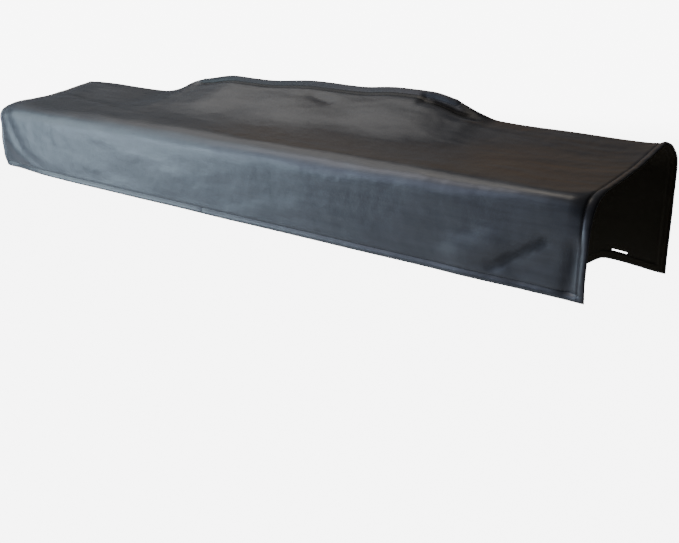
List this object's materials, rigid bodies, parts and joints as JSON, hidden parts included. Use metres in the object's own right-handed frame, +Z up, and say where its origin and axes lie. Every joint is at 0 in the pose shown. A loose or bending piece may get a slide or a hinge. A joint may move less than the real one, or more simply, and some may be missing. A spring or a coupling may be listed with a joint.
{
  "type": "fitted piano cover",
  "caption": "Fitted cover for a slab piano: one hemmed sheet of faux leather, open below and at both ends, with a hemmed slot for a music rest.",
  "frame": {"origin": "on the underside of the top, in the middle of the length and depth, where the instrument carries the cover", "axes": "+X along the keyboard towards the player's right, +Y from the front flap to the back flap, +Z up"},
  "size_m": [1.4469, 0.3375, 0.2909],
  "materials": {
    "faux_leather": "satin"
  },
  "bodies": {
    "root": {"cover_cloth": "faux_leather"}
  },
  "joints": []
}
